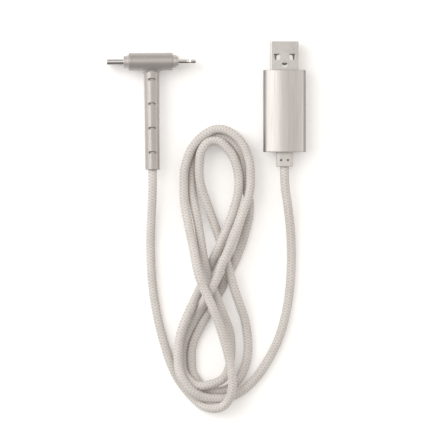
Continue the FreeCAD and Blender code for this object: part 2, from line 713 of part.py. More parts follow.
def tee_inner_mould():
    body = new_body("tee_inner_mould")
    sketch = plane_sketch(body, "YZ_Plane")
    stadium(sketch, HEAD_BORE_WIDTH + " - 2 * fit", HEAD_BORE_DEPTH + " - 2 * fit")
    stadium(sketch, "oval_thickness + 2 * hollow_face", "oval_width + 2 * hollow_side")
    pad(body, sketch, "head_length - 2 * spigot_length", both=True)
    hole = plane_sketch(body, "XZ_Plane")
    circle(hole, "mould_hole_diameter", "stem_offset")
    pocket(body, hole, HEAD_WIDTH, reverse=True)
    return sub_part(body, "tee_inner_mould", TEE_FRAME)


def collar(name, side, plug, flange_length, step_width, step_length):
    """Two-step collar with a spigot in the head's bore and a slot for its plug; side is -1 or 1."""
    body = new_body(name)
    sign = "" if side > 0 else "-"
    backwards = side < 0
    steps = (
        (HEAD_BORE_WIDTH + " - 2 * fit", HEAD_BORE_DEPTH + " - 2 * fit", "spigot_length", False),
        (COLLAR_WIDTH, COLLAR_DEPTH, flange_length, True),
        (step_width, STEP_DEPTH, step_length, True),
    )
    place = "head_length / 2 - spigot_length"
    for width, depth, length, rounded in steps:
        sketch = plane_sketch(body, "YZ_Plane", "%s(%s)" % (sign, place))
        stadium(sketch, width, depth)
        step = pad(body, sketch, length, reverse=backwards)
        place += " + " + length
        if rounded:
            fillet(body, step, flat_edges(step.Shape, "X", side * value(place)), "collar_edge")
    slot = plane_sketch(body, "YZ_Plane")
    stadium(slot, plug[0] + " + 2 * fit", plug[1] + " + 2 * fit")
    pocket(body, slot, "2 * head_length", reverse=not backwards)
    return sub_part(body, name, TEE_FRAME)


def centred_block(name, dims, y="0", x="0", z="0"):
    """Block about a centre in the T head, its length along the plugs."""
    corner = ("%s - (%s) / 2" % (x, dims[0]), "%s - (%s) / 2" % (y, dims[1]), "%s - (%s) / 2" % (z, dims[2]))
    return box_block(name, corner, dims)


def tee_board():
    block = centred_block("board_blank", ("2 * " + PLUG_TAIL_END, "board_thickness", "board_width"))
    return sub_part(group("tee_board", [block]), "tee_board", TEE_FRAME)


# Packages on the board: name; length, height and width; the face it is soldered to; place along and across.
BOARD_CHIPS = (
    ("large_chip", (3.2, 0.8, 3.2), 1, 2.6, 0.6),
    ("small_chip", (2.0, 0.6, 1.6), 1, -2.8, -1.4),
    ("capacitor_a", (1.0, 0.5, 0.6), 1, -2.6, 1.6),
    ("capacitor_b", (1.0, 0.5, 0.6), 1, -4.4, 1.6),
    ("rear_chip", (1.6, 0.6, 1.6), -1, 4.2, -0.6),
)


def tee_board_chips():
    blocks = []
    for name, (long, tall, wide), face, x, z in BOARD_CHIPS:
        y = "%d * (board_thickness + %s) / 2" % (face, tall)
        blocks.append(centred_block(name, (str(long), str(tall), str(wide)), y, str(x), str(z)))
    return sub_part(group("tee_board_chips", blocks), "tee_board_chips", TEE_FRAME)


def tee_cord_core():
    rod("tee_cord_core", STEM_FRAME, "core_top", "stem_reach - core_top", "core_diameter")


def tee_crimp_ferrule():
    rod("tee_crimp_ferrule", STEM_FRAME, "ferrule_top", "ferrule_length", FERRULE, CORE_BORE)


# Wires between core and board: shares of the way where they bend, and how much they spread on it.
WIRE_BENDS = (0.4, 0.75)
WIRE_SPREAD_ALONG = 1.6
WIRE_SPREAD_ACROSS = 1.45


def tee_wires():
    low, high = -value("core_top"), -value("board_thickness / 2")
    first, second = (low + share * (high - low) for share in WIRE_BENDS)
    routes = []
    for x, z in core_corners():
        far_x, far_z = WIRE_SPREAD_ALONG * x, WIRE_SPREAD_ACROSS * z
        routes.append([Vec(x, low, z), Vec(x, first, z), Vec(far_x, second, far_z), Vec(far_x, high, far_z)])
    wire_group("tee_wires", STEM_FRAME, routes)


# Oval plug, on the left of the T head

OVAL_TIP = "(head_length / 2 + oval_collar_length + oval_step_length + oval_reach)"
OVAL_INSERT_TIP = "(%s - oval_insert_setback)" % OVAL_TIP
OVAL_ROW = "(oval_contact_pitch * (oval_contact_count - 1) + oval_contact_width)"
OVAL_MOUTH_WIDTH = "(%s + 2 * latch_gap + 2 * latch_thickness)" % OVAL_ROW


def oval_plug_shell():
    body = new_body("oval_plug_shell")
    length = "%s - %s" % (OVAL_TIP, PLUG_TAIL_END)
    sketch = plane_sketch(body, "YZ_Plane", "-" + OVAL_TIP)
    stadium(sketch, "oval_thickness", "oval_width")
    blank = pad(body, sketch, length)
    fillet(body, blank, flat_edges(blank.Shape, "X", -value(OVAL_TIP)), "oval_edge")
    hollow = plane_sketch(body, "YZ_Plane", "-" + OVAL_TIP)
    stadium(hollow, "oval_thickness - 2 * oval_wall", "oval_width - 2 * oval_wall")
    pocket(body, hollow, length, reverse=True)
    return sub_part(body, "oval_plug_shell", TEE_FRAME)


def oval_plug_insert():
    body = new_body("oval_plug_insert")
    sketch = plane_sketch(body, "YZ_Plane", "-" + OVAL_INSERT_TIP)
    inner = "(2 * oval_wall + 2 * fit)"
    stadium(sketch, "oval_thickness - " + inner, "oval_width - " + inner)
    pad(body, sketch, "%s - %s" % (OVAL_INSERT_TIP, PLUG_TAIL_END))
    mouth = plane_sketch(body, "YZ_Plane", "-" + OVAL_INSERT_TIP)
    box_outline(mouth, "oval_mouth_thickness", OVAL_MOUTH_WIDTH)
    pocket(body, mouth, "oval_mouth_length", reverse=True)
    return sub_part(body, "oval_plug_insert", TEE_FRAME)


def oval_plug_contacts():
    """Two facing rows of thin contacts on the walls of the insert's slot."""
    contacts = []
    count = int(value("oval_contact_count"))
    for face in (1, -1):
        y = "%d * (oval_mouth_thickness - oval_contact_thickness) / 2" % face
        for place in range(count):
            z = "(%d - (oval_contact_count - 1) / 2) * oval_contact_pitch" % place
            contacts.append(centred_block(
                "oval_contact", ("oval_contact_length", "oval_contact_thickness", "oval_contact_width"),
                y, "-(%s - oval_mouth_length + oval_contact_length / 2)" % OVAL_INSERT_TIP, z))
    return sub_part(group("oval_plug_contacts", contacts), "oval_plug_contacts", TEE_FRAME)


def oval_plug_latches():
    latches = []
    for face in (1, -1):
        z = "%d * (%s - latch_thickness) / 2" % (face, OVAL_MOUTH_WIDTH)
        latches.append(centred_block("oval_latch", ("latch_length", "latch_height", "latch_thickness"), "0",
                                     "-(%s - oval_mouth_length + latch_length / 2)" % OVAL_INSERT_TIP, z))
    return sub_part(group("oval_plug_latches", latches), "oval_plug_latches", TEE_FRAME)


# Tab plug, on the right of the T head

TAB_TIP = "(head_length / 2 + tab_collar_length + tab_step_length + tab_reach)"
PLATE_WIDTH = "(tab_width - 2 * scallop_depth - 2 * plate_side)"
PLATE_MIDDLE = "(%s - plate_setback - plate_length / 2)" % TAB_TIP
PAD_PITCH = "(%s - 2 * pad_margin - pad_width) / (pad_count - 1)" % PLATE_WIDTH


def tab_plug_body():
    body = new_body("tab_plug_body")
    sketch = plane_sketch(body, "YZ_Plane", PLUG_TAIL_END)
    stadium(sketch, "tab_thickness", "tab_width")
    bar = pad(body, sketch, "%s - %s" % (TAB_TIP, PLUG_TAIL_END))
    fillet(body, bar, flat_edges(bar.Shape, "X", value(TAB_TIP)), "tab_edge")
    scallops = plane_sketch(body, "XZ_Plane")
    bow = "((scallop_length / 2) ^ 2 + scallop_depth ^ 2) / scallop_depth"
    away = "(tab_width / 2 - scallop_depth + (%s) / 2)" % bow
    for sign in ("", "-"):
        circle(scallops, bow, "%s - scallop_setback" % TAB_TIP, sign + away)
    pocket(body, scallops, "2 * tab_thickness", both=True)
    for face, inward in (("tab_thickness / 2", True), ("-tab_thickness / 2", False)):
        recess = plane_sketch(body, "XZ_Plane", "-(%s)" % face)
        rounded_box(recess, "plate_length", PLATE_WIDTH, "plate_corner", PLATE_MIDDLE)
        pocket(body, recess, "plate_thickness", reverse=inward)
    return sub_part(body, "tab_plug_body", TEE_FRAME)


def pad_places():
    count = int(value("pad_count"))
    return ["(%d - (pad_count - 1) / 2) * %s" % (place, PAD_PITCH) for place in range(count)]


def tab_plug_inserts():
    """Insulating plates in the recesses of both faces, with a window for each contact pad."""
    plate = new_body("tab_plate")
    sketch = plane_sketch(plate, "XZ_Plane", "-tab_thickness / 2")
    rounded_box(sketch, "plate_length", PLATE_WIDTH, "plate_corner", PLATE_MIDDLE)
    for z in pad_places():
        box_outline(sketch, "pad_length", "pad_width", PLATE_MIDDLE, z)
    pad(plate, sketch, "plate_thickness")
    other = doc.addObject("Part::Mirroring", "tab_plate_mirrored")
    other.Source = plate
    other.Normal = Vec(0, 1, 0)
    return sub_part(group("tab_plug_inserts", [plate, other]), "tab_plug_inserts", TEE_FRAME)


def tab_plug_contacts():
    pads = []
    for face in (1, -1):
        y = "%d * (tab_thickness - plate_thickness) / 2" % face
        for z in pad_places():
            pads.append(centred_block("tab_pad", ("pad_length", "plate_thickness", "pad_width"),
                                      y, PLATE_MIDDLE, z))
    return sub_part(group("tab_plug_contacts", pads), "tab_plug_contacts", TEE_FRAME)


# Hank: three turns of a figure of eight. Each row is a place on the way round, with every turn's x, y, height
# and heading there; None where a turn runs on.

FLOOR = value("cord_diameter / 2")
HANK_START = Vec(-7.56, -121.6, FLOOR)
HANK_START_HEADING = -48
HANK_END = Vec(26.1, -108.0, FLOOR)
HANK_END_HEADING = 60
FIRST_FOOT = Vec(3.45, -128.25, 6.1)
HEEL = Vec(11.0, -118.6, 9.3)
TURNS = (
    ((8.7, -103.5, 11.0, 105), (10.5, -103.5, FLOOR, 90), (17.7, -103.0, FLOOR, 91)),
    # rising strands cross the falling ones
    ((2.4, -84.8, 12.9, 112), (4.4, -81.2, 5.8, 111), (9.9, -70.9, 5.85, 106)),
    ((-1.8, -75.6, 12.9, 110.5), (0.4, -70.7, 5.8, 106.7), (6.0, -57.6, FLOOR, 108)),
    # upper loop: left flank, top, right flank
    ((-6.1, -57.4, 8.8, 102), (-2.3, -56.9, 3.6, 98.5), (2.8, -48.5, 2.8, 110)),
    ((-9.5, -33.6, 5.2, 90), (-6.2, -28.6, FLOOR, 90), (-2.9, -24.3, 6.5, 88)),
    ((-4.75, -16.15, 5.6, 51), (-2.6, -16.9, FLOOR, 54), (-1.5, -18.1, 7.0, 61)),
    ((5.0, -9.9, 5.5, 0), (4.0, -12.7, FLOOR, 0), (3.3, -15.2, 6.3, 0)),
    ((14.9, -15.9, 5.7, -53), (12.9, -17.6, FLOOR, -54), (9.8, -19.8, 5.6, -51)),
    ((18.9, -34.5, 6.0, -90), (18.6, -40.5, FLOOR, -95), (13.6, -33.3, 5.2, -90)),
    # falling strands cross the rising ones
    ((8.4, -64.5, 9.9, -114), (10.0, -70.9, FLOOR, -116.6), (6.0, -57.6, 5.9, -113)),
    ((2.7, -76.6, 10.1, -118), (4.4, -81.2, FLOOR, -119), (0.4, -70.7, FLOOR, -114.7)),
    ((0.45, -80.65, 8.3, -119), (2.4, -84.8, FLOOR, -119), (-1.8, -75.6, 3.1, -115.2)),
    # lower loop: left flank, sole, foot
    ((-4.4, -89.1, 3.0, -118.6), None, (-9.2, -91.7, 7.0, -112)),
    ((-10.3, -107.8, FLOOR, -90), (-6.3, -108.6, FLOOR, -90), (-12.0, -107.3, 7.0, -90)),
    ((-6.5, -116.9, 5.1, -42), (-4.4, -115.6, FLOOR, -58), (-8.4, -118.3, 8.4, -52)),
    ((3.45, -117.5, 6.3, 20), (3.45, -121.0, FLOOR, 0), (3.45, -124.1, 5.2, 0)),
)


def polar(place, heading, reach):
    angle = math.radians(heading)
    return place[0] + reach * math.cos(angle), place[1] + reach * math.sin(angle)


def hank_keys():
    """Points that the hank passes, each with its heading in plan, from the head's end to the host's."""
    straight = value("cord_diameter")
    x, y = polar(HANK_START, HANK_START_HEADING, straight)
    keys = [(HANK_START, HANK_START_HEADING), (Vec(x, y, FLOOR), HANK_START_HEADING)]
    keys += [(FIRST_FOOT, 0), (HEEL, 90)]
    for turn in zip(*TURNS):
        for place in turn:
            if place:
                keys.append((Vec(*place[:3]), place[3]))
    x, y = polar(HANK_END, HANK_END_HEADING, -straight)
    return keys + [(Vec(x, y, FLOOR), HANK_END_HEADING), (HANK_END, HANK_END_HEADING)]


def climb_rates(points):
    """Rise per length in plan at each point: level where the route turns from climbing to falling."""
    runs = [(b.z - a.z) / math.hypot(b.x - a.x, b.y - a.y) for a, b in zip(points, points[1:])]
    rates = [0.0]
    for before, after in zip(runs, runs[1:]):
        rates.append(2 * before * after / (before + after) if before * after > 0 else 0.0)
    return rates + [0.0]


def arc_between(start, heading, end):
    """Edge from start, along heading, to end: one arc, or a line where they are in line."""
    chord = end - start
    side = chord - heading * chord.dot(heading)
    if side.Length < 1e-6:
        return Part.LineSegment(start, end).toShape(), math.inf
    side = side.normalize()
    radius = chord.dot(chord) / (2 * chord.dot(side))
    half = math.atan2(chord.dot(side), chord.dot(heading))
    middle = start + side * (radius * (1 - math.cos(half))) + heading * (radius * math.sin(half))
    return Part.Arc(start, middle, end).toShape(), radius


def biarc(start, heading, end, last_heading):
    """Two tangent arcs of equal reach between two points with headings."""
    across = end - start
    both = heading + last_heading
    a = 2 * (1 - heading.dot(last_heading))
    b = 2 * across.dot(both)
    c = across.dot(across)
    reach = c / b if a < 1e-9 else (math.sqrt(b * b + 4 * a * c) - b) / (2 * a)
    joint = (start + heading * reach + end - last_heading * reach) * 0.5
    joint_heading = (joint - start - heading * reach).normalize()
    first, radius = arc_between(start, heading, joint)
    second, other_radius = arc_between(joint, joint_heading, end)
    return [first, second], [radius, other_radius]


def hank_path():
    keys = hank_keys()
    points = [point for point, heading in keys]
    headings = []
    for (point, heading), rate in zip(keys, climb_rates(points)):
        angle = math.radians(heading)
        headings.append(Vec(math.cos(angle), math.sin(angle), rate).normalize())
    edges, radii = [], []
    for start, heading, end, last in zip(points, headings, points[1:], headings[1:]):
        pair, pair_radii = biarc(start, heading, end, last)
        edges += pair
        radii += pair_radii
    return edges, radii, headings[0]


def least_gap(edges, diameter):
    """Least gap of the tube to itself, measured on points about half a millimetre apart."""
    points, travelled = [], []
    total = 0.0
    for edge in edges:
        steps = max(2, int(edge.Length / 0.5))
        for index, place in enumerate(edge.discretize(steps + 1)[:-1]):
            points.append(place)
            travelled.append(total + edge.Length * index / steps)
        total += edge.Length
    gap = math.inf
    for first, (place, way) in enumerate(zip(points, travelled)):
        for other, other_way in zip(points[first + 1:], travelled[first + 1:]):
            if other_way - way > 4 * diameter:
                gap = min(gap, place.distanceToPoint(other) - diameter)
    return gap


def cord_hank():
    diameter = value("cord_diameter")
    edges, radii, heading = hank_path()
    path = Part.Wire(edges)
    feature = doc.addObject("Part::Feature", "cord_hank")
    feature.Shape = tube(path, HANK_START, heading, diameter)
    feature.Label = "cord_hank"
    nodes.append(feature)
    report_tube("cord_hank", feature.Shape, path, radii, diameter)
    print("cord_hank: least gap to itself %.2f" % least_gap(edges, diameter))
    return path.Length


# Leads: hand-placed points between each end and the hank. The runs at both ends of a lead keep its direction.
HEAD_EXIT_RUN = 9.0
HEAD_LAST_RUN = 5.5
HOST_FIRST_RUN = 6.0
HOST_EXIT_RUN = 7.5

def end_point(frame, reach):
    """Where the cord leaves an end, and its direction there."""
    placement = frame_placement(frame)
    return placement.multVec(Vec(0, -reach, 0)), placement.Rotation.multVec(Vec(0, -1, 0))


def lead(name, points):
    diameter = value("cord_diameter")
    path, radii = rounded_route(points)
    feature = doc.addObject("Part::Feature", name)
    feature.Shape = tube(path, points[0], points[1] - points[0], diameter)
    feature.Label = name
    nodes.append(feature)
    print(name, "radii", " ".join("%.0f" % radius for radius in radii))
    report_tube(name, feature.Shape, path, radii, diameter)
    return path.Length


def cord_head_lead():
    start, heading = end_point(STEM_FRAME, value("stem_reach"))
    x, y = polar(HANK_START, HANK_START_HEADING, -HEAD_LAST_RUN)
    return lead("cord_head_lead", [
        start,
        start + heading * HEAD_EXIT_RUN,
        Vec(-23.3, -46.5, 3.0),
        Vec(-23.75, -57.5, FLOOR),
        Vec(-23.5, -69.0, FLOOR),
        Vec(-22.4, -80.5, FLOOR),
        Vec(-20.4, -91.5, FLOOR),
        Vec(-17.9, -101.0, FLOOR),
        Vec(-15.1, -109.8, FLOOR),
        Vec(x, y, FLOOR),
        HANK_START,
    ])


def cord_host_lead():
    end, heading = end_point(HOST_FRAME, value("barrel_length + relief_reach"))
    x, y = polar(HANK_END, HANK_END_HEADING, HOST_FIRST_RUN)
    return lead("cord_host_lead", [
        HANK_END,
        Vec(x, y, FLOOR),
        Vec(32.3, -94.5, FLOOR),
        Vec(34.6, -84.5, FLOOR),
        Vec(35.8, -74.0, FLOOR),
        Vec(36.2, -63.5, FLOOR),
        Vec(35.8, -53.0, 2.4),
        Vec(34.6, -42.5, 4.2),
        end + heading * HOST_EXIT_RUN,
        end,
    ])


host_shell()
host_contact_block()
host_contacts()
barrel_sleeve()
host_front_bezel()
host_inner_mould()
host_strain_relief()
host_cord_core()
host_crimp_ferrule()
host_wires()
tee_body()
tee_inner_mould()
collar("oval_plug_collar", -1, ("oval_thickness", "oval_width"), "oval_collar_length", OVAL_STEP_WIDTH,
       "oval_step_length")
collar("tab_plug_collar", 1, ("tab_thickness", "tab_width"), "tab_collar_length", TAB_STEP_WIDTH,
       "tab_step_length")
tee_board()
tee_board_chips()
tee_cord_core()
tee_crimp_ferrule()
tee_wires()
oval_plug_shell()
oval_plug_insert()
oval_plug_contacts()
oval_plug_latches()
tab_plug_body()
tab_plug_inserts()
tab_plug_contacts()
cord_length = cord_hank() + cord_head_lead() + cord_host_lead()
print("cord length %.0f mm" % cord_length)
doc.recompute()

for thing in doc.Objects:
    if "Invalid" in thing.State or "Error" in thing.State:
        raise RuntimeError(thing.Name + " failed")

os.makedirs("parts", exist_ok=True)
whole = FreeCAD.BoundBox()
for node in nodes:
    shape = node.Shape
    if shape.isNull() or not shape.isValid():
        raise RuntimeError(node.Label + " has no valid shape")
    print("%-20s solids %2d  volume %8.2f" % (node.Label, len(shape.Solids), shape.Volume))
    shape.exportStep("parts/%s.step" % node.Label)
    if not node.Label.startswith("cord_"):
        whole.add(shape.optimalBoundingBox(False, False))
print("%d nodes, ends span X %.2f to %.2f, Y %.2f to %.2f, Z %.2f to %.2f" % (
    len(nodes), whole.XMin, whole.XMax, whole.YMin, whole.YMax, whole.ZMin, whole.ZMax))
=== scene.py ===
import math

import bmesh
import bpy
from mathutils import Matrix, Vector


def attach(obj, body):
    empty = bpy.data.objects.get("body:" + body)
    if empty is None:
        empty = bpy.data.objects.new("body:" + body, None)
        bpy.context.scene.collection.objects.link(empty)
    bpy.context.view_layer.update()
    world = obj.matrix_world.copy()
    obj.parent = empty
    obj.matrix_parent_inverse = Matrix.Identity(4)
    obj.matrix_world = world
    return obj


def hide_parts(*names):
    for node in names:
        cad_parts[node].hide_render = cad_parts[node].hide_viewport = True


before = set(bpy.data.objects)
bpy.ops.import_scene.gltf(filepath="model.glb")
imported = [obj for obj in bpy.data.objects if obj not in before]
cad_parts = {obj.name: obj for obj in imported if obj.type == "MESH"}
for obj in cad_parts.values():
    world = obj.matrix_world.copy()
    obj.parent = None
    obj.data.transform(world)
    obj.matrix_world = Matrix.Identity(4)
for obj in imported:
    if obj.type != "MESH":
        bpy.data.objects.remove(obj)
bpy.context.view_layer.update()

MM = 0.001

# Photograph: 430 pixels wide, seen straight from above.
PIXELS_PER_MM = 2.36
FRAME_PIXELS = 430
ORIGIN_PIXEL = (206.35, 105.65)
CAMERA_LENS = 600
SENSOR = 36
# Height at which the scale holds.
SCALE_HEIGHT = 4 * MM

# The two ends, as in the part's source, in millimetres and degrees.
HEAD_PLACE = (-23.58, 18.62, 5.5)
HEAD_TURN = 0.5
STEM_OFFSET = 0.4
STEM_REACH = 45.8
OVAL_PLUG_Y = 18.49
TAB_PLUG_Y = 18.76
HOST_PLACE = (33.1, 15.1, 5.0)
HOST_REACH = 41.0
# Distances from the barrel's middle line at which the painted shade on its narrow sides starts, and is full.
BARREL_SIDE_SHADE_START = 7.5
BARREL_SIDE_SHADE_FULL = 8.6
# Width over which a plug turns to its painted shade.
PLUG_SHADE_BLEND = 0.3

# Cord, in millimetres and degrees; its length is in metres. The route is that of the part's source, with
# more points in the upper loop, where it follows the photograph more closely.
CORD_RADIUS = 1.9
LOW = CORD_RADIUS
# Straight stretches: out of the stem, into the strain relief, and before and after the hank.
STEM_STRAIGHT = 9.0
RELIEF_STRAIGHT = 7.5
BEFORE_HANK = 5.5
AFTER_HANK = 6.0
# Places of the hank: x, y, height and heading.
HANK_START = (-7.56, -121.6, LOW, -48)
FIRST_FOOT = (3.45, -128.25, 6.1, 0)
HEEL = (11.0, -118.6, 9.3, 90)
HANK_END = (26.1, -108.0, LOW, 60)
# Each row is a place on the way round, with every turn's x, y, height and heading there; None where a turn
# runs on.
TURNS = (
    ((8.7, -103.5, 11.0, 105), (10.5, -103.5, LOW, 90), (17.7, -103.0, LOW, 91)),
    # rising strands cross the falling ones
    ((2.4, -84.8, 12.9, 112), (4.4, -81.2, 5.8, 111), (9.9, -70.9, 5.85, 106)),
    ((-1.8, -75.6, 12.9, 110.5), (0.4, -70.7, 5.8, 106.7), (6.0, -57.6, LOW, 108)),
    # upper loop: left flank, top, right flank
    ((-6.1, -57.4, 8.3, 102), (-2.4, -56.9, 5.4, 98.5), (2.8, -48.5, 2.8, 110)),
    ((-9.5, -33.6, 4.6, 90), (-6.3, -28.6, 2.1, 90), (-2.9, -24.3, 6.5, 88)),
    ((-8.3, -23.4, 5.1, 71), None, None),
    ((-4.75, -16.15, 5.6, 52), (-2.6, -16.9, LOW, 54), (-1.5, -18.1, 7.0, 61)),
    ((-0.4, -12.0, 5.9, 35), None, None),
    ((5.0, -9.9, 5.6, 0), (4.0, -12.7, 2.8, 0), (3.3, -14.9, 6.3, 0)),
    ((10.2, -11.4, 5.8, -31), None, None),
    ((14.6, -15.3, 6.0, -53), (12.9, -17.6, 3.2, -54), (9.3, -18.7, 6.2, -49)),
    ((17.7, -21.8, 6.3, -74), None, (12.7, -25.5, 6.3, -74)),
    ((18.7, -32.0, 6.6, -91), (16.2, -30.5, 3.5, -84), (13.7, -33.3, 6.4, -92)),
    ((14.6, -48.0, 8.0, -108), (18.0, -47.6, LOW, -102), (11.2, -45.3, 6.2, -108)),
    # falling strands cross the rising ones
    ((7.8, -64.5, 9.9, -114), (9.8, -70.9, LOW, -116.6), (6.3, -57.6, 5.9, -113)),
    ((2.7, -76.6, 10.1, -118), (4.4, -81.2, LOW, -119), (0.4, -70.7, LOW, -114.7)),
    ((0.45, -80.65, 8.3, -119), (2.4, -84.8, LOW, -119), (-1.8, -75.6, 3.1, -115.2)),
    # lower loop: left flank, sole, foot
    ((-4.4, -89.1, 3.0, -118.6), None, (-9.2, -91.7, 7.0, -112)),
    ((-10.3, -107.8, LOW, -90), (-6.3, -108.6, LOW, -90), (-12.0, -107.3, 7.0, -90)),
    ((-6.5, -116.9, 5.1, -42), (-4.4, -115.6, LOW, -58), (-8.4, -118.3, 8.4, -52)),
    ((3.45, -117.5, 6.3, 20), (3.45, -121.0, LOW, 0), (3.45, -124.1, 5.2, 0)),
)
# Share of the way to the next point of the hank at which the spline is held to the heading.
LEVER = 0.293

# Braid: lines of gaps round the cord, length from one gap to the next in a line, depth of a gap, and yarns
# that lie side by side in a strand.
BRAID_LINES = 8
BRAID_PITCH = 1.3
BRAID_RELIEF = 0.12
YARNS_PER_STRAND = 3
POINTS_PER_LINE = 4
RINGS_PER_PITCH = 4
BRAID_COLUMNS = BRAID_LINES * POINTS_PER_LINE


def polar(place, heading, reach):
    """Point in plan at a reach from a place, towards a heading."""
    angle = math.radians(heading)
    return place[0] + reach * math.cos(angle), place[1] + reach * math.sin(angle)


def camera():
    """Looks straight down, so that one millimetre near the cable is as many pixels as in the photograph."""
    half = FRAME_PIXELS / 2
    x = (half - ORIGIN_PIXEL[0]) / PIXELS_PER_MM * MM
    y = (ORIGIN_PIXEL[1] - half) / PIXELS_PER_MM * MM
    width = FRAME_PIXELS / PIXELS_PER_MM * MM
    data = bpy.data.cameras.new("camera")
    data.lens = CAMERA_LENS
    data.sensor_width = SENSOR
    data.clip_end = 100
    eye = bpy.data.objects.new("camera", data)
    eye.location = (x, y, SCALE_HEIGHT + width * CAMERA_LENS / SENSOR)
    bpy.context.scene.collection.objects.link(eye)
    bpy.context.scene.camera = eye


# Route of the cord

def hank_keys():
    """Points that the hank passes, each with its heading in plan."""
    places = [HANK_START, FIRST_FOOT, HEEL]
    for turn in zip(*TURNS):
        places += [place for place in turn if place]
    places.append(HANK_END)
    return [(Vector((x, y, height)), heading) for x, y, height, heading in places]


def climb_rates(points):
    """Rise per length in plan at each point: level where the route turns from climbing to falling."""
    runs = [(b.z - a.z) / (b - a).xy.length for a, b in zip(points, points[1:])]
    rates = [0.0]
    for before, after in zip(runs, runs[1:]):
        rates.append(2 * before * after / (before + after) if before * after > 0 else 0.0)
    return rates + [0.0]


def hank_points():
    """Control points of the hank: two for each point that it passes, one each side along its heading."""
    keys = hank_keys()
    points = [point for point, heading in keys]
    held = []
    for number, ((point, heading), rate) in enumerate(zip(keys, climb_rates(points))):
        along = Vector((*polar((0, 0), heading, 1), rate)).normalized()
        if number > 0:
            held.append(point - along * LEVER * (point - points[number - 1]).length)
        if number < len(points) - 1:
            held.append(point + along * LEVER * (points[number + 1] - point).length)
    return held


def head_lead_points():
    """Listed points from the end of the stem to the hank."""
    down = Vector((*polar((0, 0), HEAD_TURN - 90, 1), 0))
    along = Vector((*polar((0, 0), HEAD_TURN, 1), 0))
    exit_point = Vector(HEAD_PLACE) + along * STEM_OFFSET + down * STEM_REACH
    x, y = polar(HANK_START, HANK_START[3], -BEFORE_HANK)
    return [
        exit_point,
        exit_point + down * STEM_STRAIGHT,
        Vector((-23.3, -46.5, 3.0)),
        Vector((-23.75, -57.5, LOW)),
        Vector((-23.5, -69.0, LOW)),
        Vector((-22.4, -80.5, LOW)),
        Vector((-20.4, -91.5, LOW)),
        Vector((-17.9, -101.0, LOW)),
        Vector((-15.1, -109.8, LOW)),
        Vector((x, y, LOW)),
    ]


def host_lead_points():
    """Listed points from the hank to the strain relief."""
    exit_point = Vector(HOST_PLACE) - Vector((0, HOST_REACH, 0))
    x, y = polar(HANK_END, HANK_END[3], AFTER_HANK)
    return [
        Vector((x, y, LOW)),
        Vector((32.3, -94.5, LOW)),
        Vector((34.6, -84.5, LOW)),
        Vector((35.8, -74.0, LOW)),
        Vector((36.2, -63.5, LOW)),
        Vector((35.8, -53.0, 2.4)),
        Vector((34.6, -42.5, 4.2)),
        exit_point - Vector((0, RELIEF_STRAIGHT, 0)),
        exit_point,
    ]


def cord_line():
    """Centre line of the cord as Blender evaluates one NURBS spline through all its control points."""
    points = head_lead_points() + hank_points() + host_lead_points()
    data = bpy.data.curves.new("cord_route", "CURVE")
    data.dimensions = "3D"
    data.resolution_u = 24
    spline = data.splines.new("NURBS")
    spline.points.add(len(points) - 1)
    for point, place in zip(spline.points, points):
        point.co = (*(place * MM), 1)
    spline.order_u = 3
    spline.use_endpoint_u = True
    route = bpy.data.objects.new("cord_route", data)
    mesh = bpy.data.meshes.new_from_object(route)
    line = [vertex.co.copy() for vertex in mesh.vertices]
    bpy.data.objects.remove(route)
    bpy.data.curves.remove(data)
    bpy.data.meshes.remove(mesh)
    return line


def even_steps(line, step):
    """Points of a line at equal distances along it, as near to step as fit in."""
    lengths = [(b - a).length for a, b in zip(line, line[1:])]
    count = round(sum(lengths) / step)
    even = sum(lengths) / count
    places = [line[0]]
    travelled, target = 0.0, even
    for (a, b), length in zip(zip(line, line[1:]), lengths):
        while target <= travelled + length and len(places) < count:
            places.append(a.lerp(b, (target - travelled) / length))
            target += even
        travelled += length
    return places + [line[-1]]


def rings(places):
    """Two directions across the line at each place, carried along it without twist."""
    ways = [(b - a).normalized() for a, b in zip(places, places[1:])]
    headings = [ways[0]] + [(a + b).normalized() for a, b in zip(ways, ways[1:])] + [ways[-1]]
    side = headings[0].cross(Vector((0, 0, 1))).normalized()
    across = []
    for before, heading in zip([headings[0]] + headings, headings):
        side = before.rotation_difference(heading) @ side
        side = (side - heading * side.dot(heading)).normalized()
        across.append((side, side.cross(heading)))
    return across


